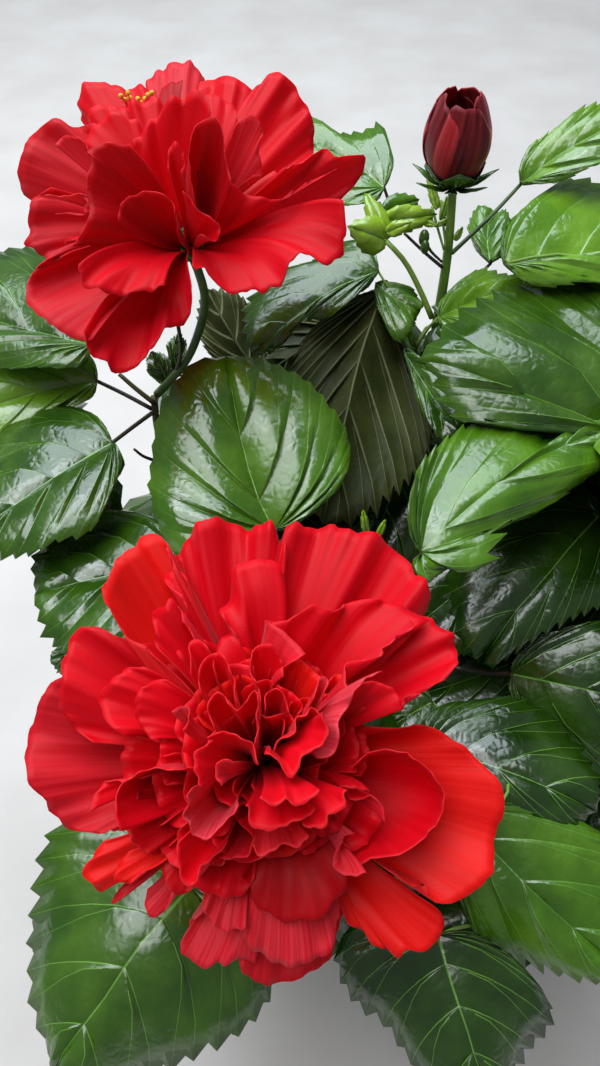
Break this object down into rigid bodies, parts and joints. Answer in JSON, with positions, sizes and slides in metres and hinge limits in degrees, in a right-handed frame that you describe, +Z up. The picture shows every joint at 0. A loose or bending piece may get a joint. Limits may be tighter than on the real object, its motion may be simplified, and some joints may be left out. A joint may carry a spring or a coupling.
{
  "type": "hibiscus shrub",
  "caption": "Small double-flowered red hibiscus shrub rooted in the ground: short woody stem, leafy boughs, open blooms and a bud.",
  "frame": {"origin": "middle of the flat cut under the main stem, at ground level", "axes": "+Z up along the stem; +X to the right and +Y away from the viewer, as the picture is taken"},
  "size_m": [0.4638, 0.4185, 0.5745],
  "materials": {
    "bark": "rough grey-brown bark",
    "foliage": "glossy dark green leaves with paler veins",
    "young_foliage": "fresh yellow-green young leaves and bud scales",
    "green_stem": "smooth green twig skin",
    "petals": "soft red petals, ribbed and ruffled",
    "bud_petals": "satin dark red wrapped petals",
    "pollen": "matt yellow anthers"
  },
  "bodies": {
    "root": {"trunk": "bark", "bough_centre": "bark", "bough_right": "bark", "bough_front": "bark", "bough_rear_left": "bark", "bough_rear_right": "bark", "bough_left": "bark", "bough_left_low": "bark", "bough_back_left": "bark", "bough_front_left": "bark", "bough_front_right": "bark", "bough_right_low": "bark", "bough_far_right": "bark", "bough_back_right": "bark", "bough_back": "bark", "bough_right_top": "bark", "bough_low_front": "bark", "bough_low_left": "bark", "bough_low_right": "bark", "bough_low_back": "bark", "foliage_centre": "foliage", "foliage_rear_left": "foliage", "foliage_rear_right": "foliage", "foliage_right_top": "foliage", "foliage_right": "foliage", "foliage_far_right": "foliage", "foliage_right_low": "foliage", "foliage_front_right": "foliage", "foliage_front": "foliage", "foliage_front_left": "foliage", "foliage_left_low": "foliage", "foliage_left": "foliage", "foliage_back_left": "foliage", "foliage_back": "foliage", "foliage_back_right": "foliage", "foliage_low_front": "foliage", "foliage_low_left": "foliage", "foliage_low_right": "foliage", "foliage_low_back": "foliage", "stalk_front": "green_stem", "stalk_rear": "green_stem", "stalk_bud": "green_stem", "bloom_front": "petals", "bloom_rear": "petals", "bud": "bud_petals"}
  },
  "joints": []
}
